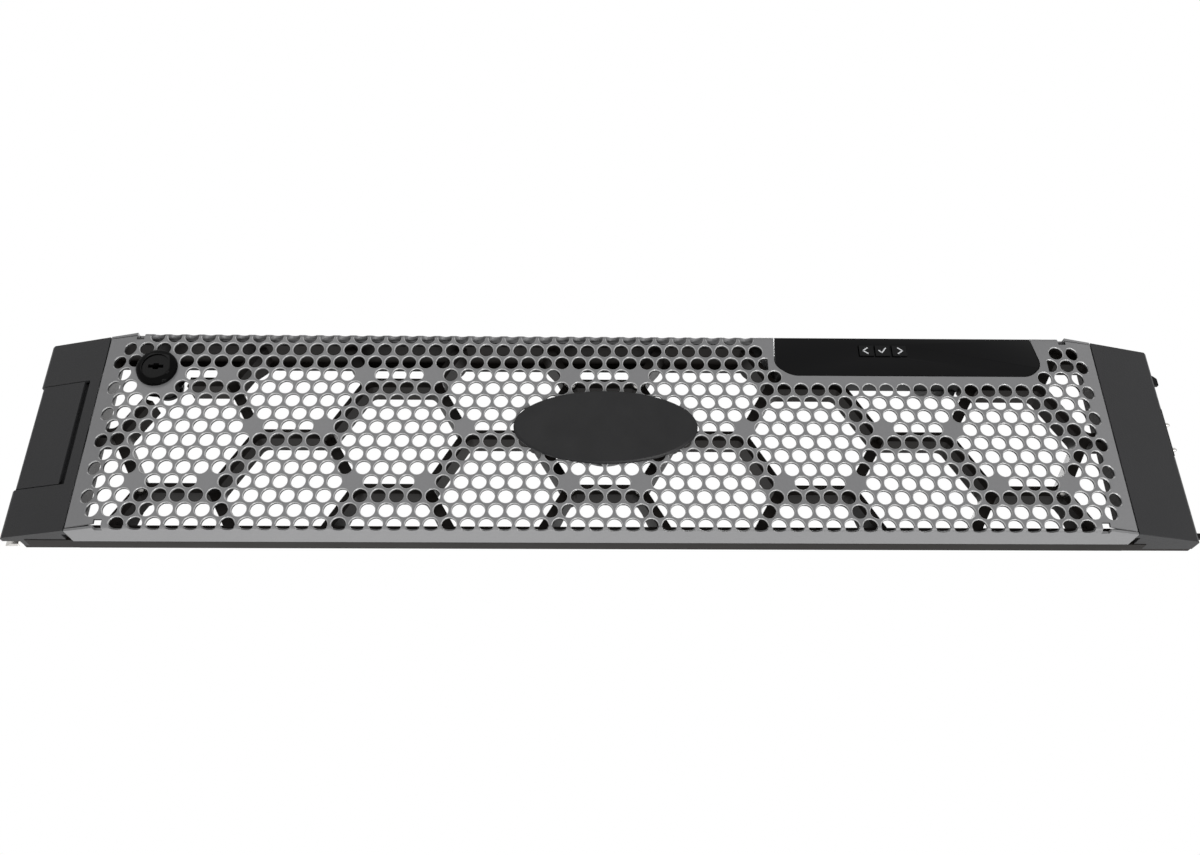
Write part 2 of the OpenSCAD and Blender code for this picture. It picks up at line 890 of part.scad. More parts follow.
module badge_plate() {
  $fn = 96;
  color([0.14, 0.14, 0.14])
    union() {
      translate([0.3, front, mid])
        scale([badge_w / badge_h, 1, 1])
          rotate([90, 0, 0])
            rotate_extrude()
              polygon([[0, 0], [badge_h / 2, 0], [badge_h / 2, badge_t - 0.5],
                [badge_h / 2 - 0.5, badge_t], [0, badge_t]]);
      difference() {
        bar_y(0, mid, front - 0.2, front + 2.9, 5);
        bar_y(0, mid, front + 0.2, front + 4, 2.06);
      }
    }
}

module badge_retainer() {
  color("Gray")
    difference() {
      bar_y(0, mid, front + 2.9, front + 3.9, retainer_d);
      for (x = [-9.6, 9.6])
        bar_y(x, mid, front, front + 6, 4.4);
      bar_y(0, mid, front, front + 6, 2.2);
    }
}

module badge_screw() {
  color([0.1, 0.1, 0.1])
    screw(0, mid, front + 3.9, 5.6, 1.2, 3.4);
}

// ------------------------------------------------- right end connections

module connector_housing() {
  x0 = half_width - 12;
  x1 = half_width - 0.2;
  z0 = mid - 5.6;
  z1 = mid + 15.8;
  color([0.1, 0.1, 0.1])
    difference() {
      union() {
        block([x0, rear - 2.9, z0], [x1, rear + 0.8, z1]);
        block([x0 + 4, rear - 9, z0], [x1, rear - 2, z1]);
        for (z = [z1 - 1.2, z1 - 3.6])
          block([x0, rear, z], [x1, rear + 1.3, z + 1.2]);
      }
      // bores of the contacts and seats of the guide pins
      for (z = contact_zs)
        translate([x0 + 4.8, contact_y, z])
          rotate([0, 90, 0])
            cylinder(d = 1.15, h = 12);
      for (z = guide_zs)
        translate([x0 + 5, contact_y, z])
          rotate([0, 90, 0])
            cylinder(d = 2.2, h = 12);
    }
}

// Guide pins with a thicker root, which is pressed into the housing.
module connector_guide_pins() {
  color("Silver")
    for (z = guide_zs)
      translate([half_width - 7, contact_y, z])
        rotate([0, 90, 0])
          rotate_extrude()
            polygon([[0, 0], [1.1, 0], [1.1, 6.7], [0.9, 6.7], [0.9, 10.6],
              [0.4, 11.4], [0, 11.4]]);
}

module contact_pin(i) {
  z = contact_zs[i];
  color("Gold")
    translate([half_width - 5.8, contact_y, z])
      rotate([0, 90, 0])
        rotate_extrude()
          polygon([[0, 0], [0.55, 0], [0.55, 6.4], [0.3, 6.9], [0, 7]]);
}

module contact_pin_1() {
  contact_pin(0);
}

module contact_pin_2() {
  contact_pin(1);
}

module contact_pin_3() {
  contact_pin(2);
}

module contact_pin_4() {
  contact_pin(3);
}

module contact_pin_5() {
  contact_pin(4);
}

// A hook and a peg that hold the right end of the bezel to the rack.
module rack_hooks() {
  color([0.1, 0.1, 0.1])
    union() {
      along_y(contact_y - 0.8, contact_y + 0.8) {
        translate([half_width, height])
          polygon([[-10, -13.2], [1, -13.2], [1, -11.2], [2.4, -11.2],
            [2.4, -13.2], [4.4, -13.2], [4.4, -10], [2.9, -8.5], [-4, -8.5],
            [-4, -4.4], [-10, -4.4]]);
        translate([half_width, 0])
          polygon([[-10, 3.7], [4.4, 3.7], [4.4, 5.3], [3.8, 5.9], [-4, 5.9],
            [-4, 10], [-10, 10]]);
      }
      // feet against the end plate
      for (z = [height - 7.9, 6.5])
        block([half_width - 10, contact_y, z],
          [half_width - 4, rear - frame_wall, z + 3.5]);
    }
}

module ground_tab() {
  y = rear - frame_wall;
  color("Silver")
    along_x(half_width - 15.8, half_width - 10.8)
      polygon([[y - 0.4, height - 4], [y - 0.4, height + 0.4],
        [rear - 0.6, height + 0.4], [rear - 0.6, height],
        [y, height], [y, height - 4]]);
}

module rear_label() {
  color("White")
    block([6.7 - half_width, rear, mid - 13.1],
      [20.3 - half_width, rear + 0.15, mid + 14.4]);
}

grille();
rear_frame();
left_end_cap();
right_end_cap();
release_button();
latch_slider();
latch_bolts();
latch_guide_screws();
latch_spring();
lock_body();
lock_cylinder();
lock_spacer_ring();
lock_nut();
lock_cam();
lock_cam_screw();
display_window();
display_housing();
display_board();
display_cover();
display_bracket();
display_cover_screws();
left_key();
select_key();
right_key();
badge_plate();
badge_retainer();
badge_screw();
lattice_screws();
rim_screws();
right_plate_screws();
left_plate_screws();
sheet_posts();
connector_housing();
connector_guide_pins();
contact_pin_1();
contact_pin_2();
contact_pin_3();
contact_pin_4();
contact_pin_5();
rack_hooks();
ground_tab();
rear_label();
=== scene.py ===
# %% [markdown]
# # A server front bezel
# This bezel closes the front of a rack server and lets air through its perforated sheet. The frame that is
# loaded here holds every rigid piece at its true size. The script gives each piece its finish, and models again
# only what a solid model leaves coarse: the sheet with its holes, the window's corners, the lock's thread, the
# spring and the small marks.

# %% Open the frame
import json
import math

import bpy
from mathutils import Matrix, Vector


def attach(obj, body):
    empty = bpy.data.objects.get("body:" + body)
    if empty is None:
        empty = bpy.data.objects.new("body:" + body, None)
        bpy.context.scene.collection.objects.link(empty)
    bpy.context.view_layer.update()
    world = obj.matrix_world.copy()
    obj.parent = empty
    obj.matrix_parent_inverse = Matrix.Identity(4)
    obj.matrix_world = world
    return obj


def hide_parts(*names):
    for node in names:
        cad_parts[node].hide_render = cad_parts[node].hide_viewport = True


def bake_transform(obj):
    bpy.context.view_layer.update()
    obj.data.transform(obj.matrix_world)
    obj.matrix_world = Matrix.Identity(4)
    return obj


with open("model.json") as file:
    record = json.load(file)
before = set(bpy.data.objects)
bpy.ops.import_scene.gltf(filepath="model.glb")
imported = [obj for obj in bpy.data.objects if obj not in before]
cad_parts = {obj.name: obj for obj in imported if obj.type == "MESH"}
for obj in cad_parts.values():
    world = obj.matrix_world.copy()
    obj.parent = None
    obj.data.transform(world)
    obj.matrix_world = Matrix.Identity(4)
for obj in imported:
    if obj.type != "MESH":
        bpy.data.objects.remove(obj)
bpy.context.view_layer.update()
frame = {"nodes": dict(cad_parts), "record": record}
nodes = frame["nodes"]
print("pieces in the frame:", len(nodes))

# %% [markdown]
# All lengths below are millimetres, as on a drawing, but Blender works in metres. Every number could be divided
# by hand. One helper that turns a point into metres is shorter and harder to get wrong. The origin is under the
# middle of the bezel and half-way through its depth.

# %% Sizes of the bezel
HEIGHT = 86.4
MID = HEIGHT / 2
FRONT = -10.0


def mm(*values):
    return Vector([v / 1000 for v in values])


print("the bezel's middle is at height", MID)

# %% [markdown]
# An operator works on everything that is selected, so each step begins with nothing selected. A block is the
# usual start of a piece: it is placed and scaled, and then that is applied, which leaves its object at the
# origin, unturned and unscaled. A round bar starts the same way.

# %% Start a piece
def nothing_selected():
    if bpy.context.object and bpy.context.object.mode != "OBJECT":
        bpy.ops.object.mode_set(mode="OBJECT")
    bpy.ops.object.select_all(action="DESELECT")


def only(obj):
    nothing_selected()
    obj.select_set(True)
    bpy.context.view_layer.objects.active = obj
    return obj


def settle(obj):
    only(obj)
    bpy.ops.object.transform_apply(location=True, rotation=True, scale=True)
    return obj


def block(name, low, high):
    nothing_selected()
    middle = [(a + b) / 2000 for a, b in zip(low, high)]
    bpy.ops.mesh.primitive_cube_add(size=1, location=middle)
    obj = bpy.context.object
    obj.name = name
    obj.scale = [(b - a) / 1000 for a, b in zip(low, high)]
    return settle(obj)


def rod(name, at, radius, length, sides=24):
    nothing_selected()
    bpy.ops.mesh.primitive_cylinder_add(vertices=sides, radius=radius / 1000, depth=length / 1000,
                                        location=mm(*at), rotation=(-math.pi / 2, 0, 0))
    obj = bpy.context.object
    obj.name = name
    return settle(obj)


# %% [markdown]
# By hand, faces, edges and corners are clicked. In code they are picked by where they lie and which way they
# face, and then the same operators of edit mode work on them. A test on a place still holds after an earlier
# step has renumbered the mesh, which a list of numbers would not.

# %% Pick by place
def pick(obj, kind, test):
    only(obj)
    bpy.ops.object.mode_set(mode="EDIT")
    bpy.ops.mesh.select_mode(type=kind)
    bpy.ops.mesh.select_all(action="DESELECT")
    bpy.ops.object.mode_set(mode="OBJECT")
    mesh = obj.data
    points = [v.co * 1000 for v in mesh.vertices]
    if kind == "VERT":
        for v in mesh.vertices:
            v.select = test(points[v.index])
    elif kind == "EDGE":
        for e in mesh.edges:
            a, b = (points[i] for i in e.vertices)
            e.select = test((a + b) / 2, b - a)
    else:
        for f in mesh.polygons:
            f.select = test(f.center * 1000, f.normal)
    bpy.ops.object.mode_set(mode="EDIT")


def pick_all(obj):
    only(obj)
    bpy.ops.object.mode_set(mode="EDIT")
    bpy.ops.mesh.select_all(action="SELECT")


def near(a, b, gap=0.02):
    return abs(a - b) < gap


def done():
    bpy.ops.object.mode_set(mode="OBJECT")


def apply_modifier(obj, kind, **settings):
    only(obj)
    mod = obj.modifiers.new(kind.lower(), kind)
    for key, value in settings.items():
        setattr(mod, key, value)
    bpy.ops.object.modifier_apply(modifier=mod.name)


# %% [markdown]
# ## The grille sheet
# The real sheet is one piece of steel, punched flat and then folded: a long flange along the top and the bottom,
# and a sloped wing at each end. It could be drawn as a flat plan and bent. A block needs fewer steps, because
# its front edges are already the folds: they are rounded, and its back and ends are taken away.

# %% Fold the sheet
FOLD_X = 189.9
FLANGE_END = 3
BEND_R = 0.0018

sheet = block("grille_sheet", (-FOLD_X, FRONT, 0), (FOLD_X, FLANGE_END, HEIGHT))
pick(sheet, "EDGE", lambda c, d: near(c.y, FRONT) and near(d.z, 0))
bpy.ops.mesh.bevel(offset=BEND_R, segments=5, profile=0.5)
done()
pick(sheet, "FACE", lambda c, n: n.y > 0.9 or abs(n.x) > 0.9)
bpy.ops.mesh.delete(type="FACE")
done()
print("open channel:", len(sheet.data.polygons), "faces")

# %% [markdown]
# The wings slope back by about 15 degrees and end in a short return that sits in the end caps. The flanges run on
# beside them: a tiny step squares their front corner, and then they run out and are cut back along the slope. All
# of these are drawn out from the open edges of the channel, so they stay joined to it. At last Solidify gives the
# whole skin the thickness of the steel, one millimetre.

# %% Draw out the wings and the flange ends
WING_ANGLE = 15.3
SLOPE = math.tan(math.radians(WING_ANGLE))
SHEET_X = 201.5
RETURN = 3.2
STEP = 0.05
FLANGE_RUN = 11.85
SQUARED = 1.5
CUT_BACK = 3.2

for s in (-1, 1):
    pick(sheet, "EDGE", lambda c, d: near(c.x, s * FOLD_X) and near(c.y, FRONT))
    bpy.ops.mesh.extrude_region_move(TRANSFORM_OT_translate={
        "value": mm(s * (SHEET_X - FOLD_X), (SHEET_X - FOLD_X) * SLOPE, 0)})
    bpy.ops.transform.resize(value=(1, 1, 1.011), center_override=mm(0, 0, MID))
    bpy.ops.mesh.extrude_region_move(TRANSFORM_OT_translate={"value": mm(0, RETURN, 0)})
    done()
    for z in (0, HEIGHT):
        pick(sheet, "EDGE", lambda c, d: near(c.x, s * FOLD_X) and near(c.z, z))
        bpy.ops.mesh.extrude_region_move(TRANSFORM_OT_translate={"value": mm(s * STEP, 0, 0)})
        done()
        pick(sheet, "VERT", lambda p: near(p.x, s * (FOLD_X + STEP), 0.01) and near(p.z, z) and p.y < -8)
        bpy.ops.transform.translate(value=mm(0, -SQUARED, 0))
        done()
        pick(sheet, "EDGE", lambda c, d: near(c.x, s * (FOLD_X + STEP), 0.01) and near(c.z, z))
        bpy.ops.mesh.extrude_region_move(TRANSFORM_OT_translate={"value": mm(s * FLANGE_RUN, 0, 0)})
        done()
        pick(sheet, "VERT", lambda p: near(p.x, s * (FOLD_X + STEP + FLANGE_RUN)) and near(p.z, z) and p.y < -8)
        bpy.ops.transform.translate(value=mm(0, CUT_BACK, 0))
        done()
apply_modifier(sheet, "SOLIDIFY", thickness=0.001, offset=-1, use_even_offset=True)
print("folded sheet:", len(sheet.data.polygons), "faces")


# %% [markdown]
# ## The punches
# The press that makes the real holes has one round punch and steps it along. Here the punch is modelled once
# too: a round bar with a flared end, so that each hole gets a small chamfer that catches the light. Its copies
# stand at the places of the pattern. An Array could place them, but the pattern has gaps, so a list of places is
# simpler.

# %% The punch and its copies
def make_punch(name, radius, back):
    length = back + 9.7
    punch = rod(name, (0, back - length / 2, 0), radius, length)
    pick(punch, "FACE", lambda c, n: n.y < -0.9)
    bpy.ops.mesh.extrude_region_move(TRANSFORM_OT_translate={"value": mm(0, -0.3, 0)})
    flare = (radius + 0.3) / radius
    bpy.ops.transform.resize(value=(flare, 1, flare))
    bpy.ops.mesh.extrude_region_move(TRANSFORM_OT_translate={"value": mm(0, -1, 0)})
    done()
    return punch


def copies(name, template, places):
    points = [v.co.copy() for v in template.data.vertices]
    faces = [list(f.vertices) for f in template.data.polygons]
    count = len(points)
    mesh = bpy.data.meshes.new(name)
    mesh.from_pydata([p + mm(*place) for place in places for p in points], [],
                     [[i + count * k for i in f] for k in range(len(places)) for f in faces])
    obj = bpy.data.objects.new(name, mesh)
    bpy.context.collection.objects.link(obj)
    return obj


def turned(obj, axis, degrees, centre):
    angles = [0, 0, 0]
    angles[axis] = math.radians(degrees)
    obj.rotation_euler = angles
    obj.location = centre - obj.rotation_euler.to_matrix() @ centre
    return settle(obj)


def cut(obj, tool):
    apply_modifier(obj, "BOOLEAN", object=tool, operation="DIFFERENCE", solver="EXACT")
    bpy.data.objects.remove(tool)


def together(objs):
    nothing_selected()
    for o in objs:
        o.select_set(True)
    bpy.context.view_layer.objects.active = objs[0]
    bpy.ops.object.join()
    return bpy.context.object


# %% [markdown]
# The holes are staggered: each second row is shifted by half a pitch, as in a honeycomb. A place is named by its
# column u and its row v, counted from the middle. Where the frame is screwed on behind, round the lock and round
# the display the sheet stays whole. On the wings the places follow the slope back.

# %% Places of the holes
PITCH = 6.85
ROW = PITCH * math.sqrt(3) / 2
HOLE_R = 2.8
LOCK_X, LOCK_Z = -179, MID + 26
FACE_COLUMNS = 27.7


def stays_whole(u, v):
    if v == 0:
        return abs(u) in (4, 8, 16, 20)
    if v == -4:
        return abs(u) in (2, 10, 14, 22, 26)
    if v == 4 and (u in (2, -2, -10, -14, -22) or 10.6 < u < 25.6):
        return True
    if v == 5 and 9.1 < u < 26.9:
        return True
    return v == 6 and 9.6 < u < 26.4


def near_lock(u, v):
    return math.hypot(u * PITCH - LOCK_X, MID + v * ROW - LOCK_Z) < 9.45


def lean(x):
    return max(0, abs(x) - FOLD_X) * SLOPE


def face_places(side):
    places = []
    for v in range(-6, 7):
        shift = 0.5 if v % 2 else 0
        for i in range(-29, 30):
            u = i + shift
            on = 1 if u > FACE_COLUMNS else -1 if u < -FACE_COLUMNS else 0
            if on == side and abs(u) < 28.7 and not (stays_whole(u, v) or near_lock(u, v)):
                places.append((u * PITCH, lean(u * PITCH), MID + v * ROW))
    return places


print("places on the left wing, the face and the right wing:", [len(face_places(side)) for side in (-1, 0, 1)])

# %% [markdown]
# The outer rows run over the bends. On the flat sheet they are round like the others, and folding wraps their
# outer side round the bend. One straight punch would leave them square there. A second punch, flattened and
# tilted by 45 degrees, opens the bend itself. The display's gap in the top flange and the relief notches beside
# the folds come in the same cut, while the sheet still has few faces and the boolean is quick.

# %% Open the bends
def bend_punch(side):
    tool = rod("bend_punch", (0, FRONT, 0), 2.45, 5.5, 20)
    pick_all(tool)
    bpy.ops.transform.resize(value=(1, 1, 0.53), center_override=mm(0, FRONT, 0))
    done()
    return turned(tool, 0, 45 * side, mm(0, FRONT, 0))


top_columns = [k + 0.5 for k in range(-27, 9)]
low_columns = [k + 0.5 for k in range(-27, 27)]
low_tool = bend_punch(1)
top_tool = bend_punch(-1)
bend_tools = [copies("low_bends", low_tool, [(u * PITCH, 0.757, 0.658) for u in low_columns]),
              copies("top_bends", top_tool, [(u * PITCH, 0.757, HEIGHT - 0.658) for u in top_columns]),
              block("display_gap", (69.5, -11, 82.4), (175.7, 4, 88))]
for s in (-1, 1):
    for z in (1.2, HEIGHT - 1.2):
        x = s * (FOLD_X - 1.5)
        bend_tools.append(block("relief", (x - 1.5, -11, z - 2.2), (x + 1.5, -7.4, z + 2.2)))
for tool in (low_tool, top_tool):
    bpy.data.objects.remove(tool)
cut(sheet, together(bend_tools))
print("bends opened:", len(sheet.data.polygons), "faces")


# %% [markdown]
# The window lies in a gap with rounded lower corners that opens to the top edge. It could be a bevelled block,
# but its sides slope, so it is drawn as a flat outline and pulled through the sheet, and then the corner edges
# are bevelled. Two holes beside the gap are cut short by its plain margin, so their punches are bisected.

# %% Tools for the window's gap
def outline(name, points, y, depth):
    nothing_selected()
    mesh = bpy.data.meshes.new(name)
    mesh.from_pydata([mm(x, y, z) for x, z in points], [], [list(range(len(points)))])
    obj = bpy.data.objects.new(name, mesh)
    bpy.context.collection.objects.link(obj)
    pick_all(obj)
    bpy.ops.mesh.extrude_region_move(TRANSFORM_OT_translate={"value": mm(0, depth, 0)})
    bpy.ops.mesh.select_all(action="SELECT")
    bpy.ops.mesh.normals_make_consistent(inside=False)
    done()
    return obj


gap = outline("window_gap", [(69.5, 84), (69.5, 88), (175.7, 88), (175.7, 84), (178, MID + 29.3),
                             (172.6, MID + 24.2), (75.4, MID + 24.2), (68.8, MID + 28.95)], -11, 4)
pick(gap, "EDGE", lambda c, d: abs(d.y) > 3 and c.z < 80)
bpy.ops.mesh.bevel(offset=0.0027, segments=5)
done()
punch = make_punch("punch", HOLE_R, -8)
part_punches = []
for u, x, side in ((9.5, 66.3, 1), (26.5, 180.4, -1)):
    part = copies("part_punch", punch, [(u * PITCH, 0, MID + 5 * ROW)])
    pick_all(part)
    bpy.ops.mesh.bisect(plane_co=mm(x, 0, 0), plane_no=(side, 0, 0), use_fill=True, clear_outer=True)
    done()
    part_punches.append(part)
print("window gap:", len(gap.data.polygons), "faces")

# %% [markdown]
# All punches are joined into one tool and cut the sheet in a single exact boolean, which is much quicker than
# one boolean a hole. Those on the wings are turned to stand square on them, and those of the outer rows are
# short, so that they don't reach the flanges. The lock's hole is part of the same tool.

# %% Punch the face
short_punch = make_punch("short_punch", HOLE_R, -8.9)
edge_places = [(u * PITCH, 0, MID + 7 * ROW) for u in top_columns]
edge_places += [(u * PITCH, 0, MID - 7 * ROW) for u in low_columns]
face_tools = [copies("face_tools", punch, face_places(0)), copies("edge_tools", short_punch, edge_places),
              rod("lock_hole", (LOCK_X, -9, LOCK_Z), 6.15, 5, 32)]
for side in (-1, 1):
    wing_punch = turned(make_punch("wing_punch", HOLE_R, -8), 2, WING_ANGLE * side, mm(0, FRONT, 0))
    face_tools.append(copies("wing_tools", wing_punch, face_places(side)))
    bpy.data.objects.remove(wing_punch)
face_tools += part_punches + [gap]
cut(sheet, together(face_tools))
for tool in (punch, short_punch):
    bpy.data.objects.remove(tool)
only(sheet)
bpy.ops.object.shade_smooth_by_angle(angle=math.radians(32))
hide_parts("grille")
print("punched sheet:", sum(len(f.vertices) - 2 for f in sheet.data.polygons), "triangles")


# %% [markdown]
# ## Finishes
# No real surface is quite even. Two effects are shared by all finishes: a fine grain in the height and the gloss
# of a surface, and a slow unevenness in its colour. They could be drawn in each material. As node groups with
# named inputs they are built once, and every finish sets its own values. Both work on Object coordinates, so
# they have the same scale on every piece.

# %% Helpers for node trees
def new_group(name, ins, outs):
    group = bpy.data.node_groups.new(name, "ShaderNodeTree")
    for label, kind, value in ins:
        socket = group.interface.new_socket(label, in_out="INPUT", socket_type=kind)
        socket.default_value = value
    for label, kind in outs:
        group.interface.new_socket(label, in_out="OUTPUT", socket_type=kind)
    return group, group.nodes.new("NodeGroupInput").outputs, group.nodes.new("NodeGroupOutput").inputs


def node(tree, kind, **settings):
    made = tree.nodes.new("ShaderNode" + kind)
    for key, value in settings.items():
        setattr(made, key, value)
    return made


def wire(tree, *pairs):
    for start, end in pairs:
        tree.links.new(start, end)


# %% [markdown]
# Paint and moulded plastic have a fine grain that breaks up a highlight, and handling leaves some places a
# little glossier. The first is a fine noise put out as height. The second is a coarse noise round the finish's
# own roughness.

# %% A group for grain
grain, given, put_out = new_group(
    "Fine grain",
    [("Scale", "NodeSocketFloat", 2500), ("Roughness", "NodeSocketFloat", 0.5),
     ("Spread", "NodeSocketFloat", 0.1)],
    [("Roughness", "NodeSocketFloat"), ("Height", "NodeSocketFloat")])
where = node(grain, "TexCoord")
fine = node(grain, "TexNoise")
fine.inputs["Detail"].default_value = 3
coarse = node(grain, "TexNoise")
coarse.inputs["Scale"].default_value = 45
centred = node(grain, "Math", operation="SUBTRACT")
centred.inputs[1].default_value = 0.5
spread = node(grain, "Math", operation="MULTIPLY_ADD")
wire(grain, (where.outputs["Object"], fine.inputs["Vector"]), (given["Scale"], fine.inputs["Scale"]),
     (where.outputs["Object"], coarse.inputs["Vector"]), (coarse.outputs["Fac"], centred.inputs[0]),
     (centred.outputs[0], spread.inputs[0]), (given["Spread"], spread.inputs[1]),
     (given["Roughness"], spread.inputs[2]), (spread.outputs[0], put_out["Roughness"]),
     (fine.outputs["Fac"], put_out["Height"]))
print("group:", grain.name)

# %% [markdown]
# Paint is also a little lighter and darker from place to place. A Mix of two colours would need both to be
# chosen. Here a noise round one scales the single colour up and down, so its hue stays.

# %% A group for uneven colour
mottle, given, put_out = new_group(
    "Uneven colour",
    [("Color", "NodeSocketColor", (0.5, 0.5, 0.5, 1)), ("Scale", "NodeSocketFloat", 60),
     ("Amount", "NodeSocketFloat", 0.1)],
    [("Color", "NodeSocketColor")])
where = node(mottle, "TexCoord")
cloud = node(mottle, "TexNoise")
cloud.inputs["Detail"].default_value = 4
centred = node(mottle, "Math", operation="SUBTRACT")
centred.inputs[1].default_value = 0.5
level = node(mottle, "Math", operation="MULTIPLY_ADD")
level.inputs[2].default_value = 1.0
scaled = node(mottle, "VectorMath", operation="SCALE")
wire(mottle, (where.outputs["Object"], cloud.inputs["Vector"]), (given["Scale"], cloud.inputs["Scale"]),
     (cloud.outputs["Fac"], centred.inputs[0]), (centred.outputs[0], level.inputs[0]),
     (given["Amount"], level.inputs[1]), (given["Color"], scaled.inputs[0]),
     (level.outputs[0], scaled.inputs["Scale"]), (scaled.outputs[0], put_out["Color"]))
print("group:", mottle.name)


# %% [markdown]
# A finish is one Principled shader fed by the two groups. The numbers say what the eye sees: the paint on the
# sheet is a satin grey with a little sparkle, the frame is a warm black lacquer, the caps are finely textured
# plastic, and the window and the lock are glossy. The black finishes reflect little, because a plain Principled
# black would look grey in a white studio.

# %% Build a finish
def finish(name, color, rough, grain_scale=2500, bump=0.05, spread=0.12, uneven=0.12, uneven_scale=60,
           metallic=0.0, specular=0.5):
    mat = bpy.data.materials.new(name)
    mat.use_nodes = True
    tree = mat.node_tree
    shader = tree.nodes["Principled BSDF"]
    shader.inputs["Metallic"].default_value = metallic
    shader.inputs["Specular IOR Level"].default_value = specular
    grain_node = node(tree, "Group", node_tree=grain)
    grain_node.inputs["Scale"].default_value = grain_scale
    grain_node.inputs["Roughness"].default_value = rough
    grain_node.inputs["Spread"].default_value = spread
    color_node = node(tree, "Group", node_tree=mottle)
    color_node.inputs["Color"].default_value = (*color, 1)
    color_node.inputs["Scale"].default_value = uneven_scale
    color_node.inputs["Amount"].default_value = uneven
    bump_node = node(tree, "Bump")
    bump_node.inputs["Strength"].default_value = bump
    bump_node.inputs["Distance"].default_value = 0.0002
    wire(tree, (color_node.outputs["Color"], shader.inputs["Base Color"]),
         (grain_node.outputs["Roughness"], shader.inputs["Roughness"]),
         (grain_node.outputs["Height"], bump_node.inputs["Height"]),
         (bump_node.outputs["Normal"], shader.inputs["Normal"]))
    return mat


finishes = {
    "sheet_paint": finish("sheet paint", (0.17, 0.17, 0.173), 0.45, 3200, 0.25, 0.1, 0.14, 900, specular=0.35),
    "frame_black": finish("frame lacquer", (0.0095, 0.0082, 0.0073), 0.46, 1800, 0.2, 0.12, 0.2, 70,
                          specular=0.06),
    "cap_charcoal": finish("cap plastic", (0.024, 0.024, 0.025), 0.52, 1500, 0.5, 0.1, 0.15, 50, specular=0.16),
    "inner_black": finish("inner plastic", (0.01, 0.01, 0.01), 0.5, 1500, 0.3, specular=0.2),
    "bright_steel": finish("bright steel", (0.5, 0.49, 0.47), 0.34, 2600, 0.15, metallic=1.0),
    "black_steel": finish("blackened steel", (0.006, 0.006, 0.006), 0.38, 2600, 0.15, specular=0.1),
    "lock_black": finish("lock enamel", (0.0025, 0.0025, 0.0025), 0.2, 1200, 0.05, 0.08, specular=0.035),
    "window_gloss": finish("window gloss", (0.003, 0.003, 0.0033), 0.1, 900, 0.01, 0.03, specular=0.09),
    "board_green": finish("board lacquer", (0.02, 0.1, 0.045), 0.35),
    "bracket_grey": finish("bracket paint", (0.2, 0.2, 0.2), 0.4, 3000, 0.25, 0.1, 0.14, 900),
    "key_black": finish("key plastic", (0.004, 0.004, 0.0042), 0.25, 1800, 0.1, specular=0.12),
    "badge_black": finish("badge plastic", (0.017, 0.017, 0.0175), 0.5, 700, 0.35, 0.2, 0.5, 110, specular=0.14),
    "gold_plate": finish("gold plate", (0.85, 0.6, 0.25), 0.22, 2600, 0.05, metallic=1.0),
    "label_white": finish("label paper", (0.68, 0.68, 0.67), 0.55, 2200, 0.1, 0.05, 0.03),
}
print("finishes:", len(finishes))


# %% [markdown]
# The record says which finish each piece has, so the pieces of the frame are dressed in one loop. The sheet made
# above takes the same paint and moves with the bezel.

# %% Put the finishes on
def put_finish(obj, slot, material=None):
    obj.data.materials.clear()
    obj.data.materials.append(material or finishes[slot])


for part in frame["record"]["subparts"]:
    put_finish(nodes[part["node"]], part["material_slot"])
put_finish(sheet, "sheet_paint")
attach(sheet, "bezel")

# %% [markdown]
# The walls inside the holes get a darker colour that paints in the shade they lie in, and the narrow edge round
# each hole gets a lighter colour that paints in the highlight its chamfer would catch. A mask in the material
# could say this, but the geometry already has these faces, so they are picked by how deep they lie in the sheet
# and get a finish of their own.

# %% Painted shade on the hole walls and painted highlight on the hole edges
# Painted shade: a dark colour on the hole walls stands for the shade inside the holes.
hole_wall_painted_shade = finish("painted shade on the hole walls", (0.022, 0.022, 0.0225), 0.5, 3200, 0.2, specular=0.15)
# Painted highlight: a light colour on the hole edges stands for the light their chamfers catch.
hole_edge_painted_highlight = finish("painted highlight on the hole edges", (0.4, 0.4, 0.4), 0.34, 3200, 0.2, specular=0.5)
for index, (paint, low, high, straight) in enumerate(((hole_wall_painted_shade, 0.35, 1.05, 0.35),
                                                      (hole_edge_painted_highlight, 0.04, 0.3, 0.85)), 1):
    sheet.data.materials.append(paint)
    pick(sheet, "FACE", lambda c, n: abs(n.y) < straight and low < c.y - FRONT - lean(c.x) < high
         and 1.85 < c.z < HEIGHT - 1.85)
    sheet.active_material_index = index
    bpy.ops.object.material_slot_assign()
    done()
    print(paint.name, "on", sum(f.material_index == index for f in sheet.data.polygons), "faces")


# %% [markdown]
# ## The display's window
# The window is a moulded gloss panel with rounded lower corners. It could be modelled anew, but the frame
# already has its size and slope. A piece of the frame is loose triangles, so its copy is merged and its flat
# faces are joined up again. Then the corner edges can be picked and bevelled like those of any other piece.

# %% Round the window's corners
def merged_copy(name, new_name, slot, flat=True):
    obj = bpy.data.objects.new(new_name, nodes[name].data.copy())
    bpy.context.collection.objects.link(obj)
    pick_all(obj)
    bpy.ops.mesh.remove_doubles(threshold=0.00001)
    if flat:
        bpy.ops.mesh.dissolve_limited(angle_limit=math.radians(0.5))
    done()
    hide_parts(name)
    put_finish(obj, slot)
    return obj


def shade(obj, degrees):
    only(obj)
    bpy.ops.object.shade_smooth_by_angle(angle=math.radians(degrees))
    print(obj.name + ":", len(obj.data.polygons), "faces")


window = merged_copy("display_window", "window_panel", "window_gloss")
pick(window, "EDGE", lambda c, d: abs(d.y) > 1 and c.z < HEIGHT - 10)
bpy.ops.mesh.bevel(offset=0.0025, segments=5)
done()
apply_modifier(window, "BEVEL", width=0.00025, segments=2, limit_method="ANGLE", angle_limit=math.radians(40))
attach(window, "bezel")
shade(window, 32)

# %% [markdown]
# The display's rear cover is a long flat plate with small corners. A bevel over long loose triangles would
# crease its flat face, so it gets the same treatment: a merged copy with its bevel applied.

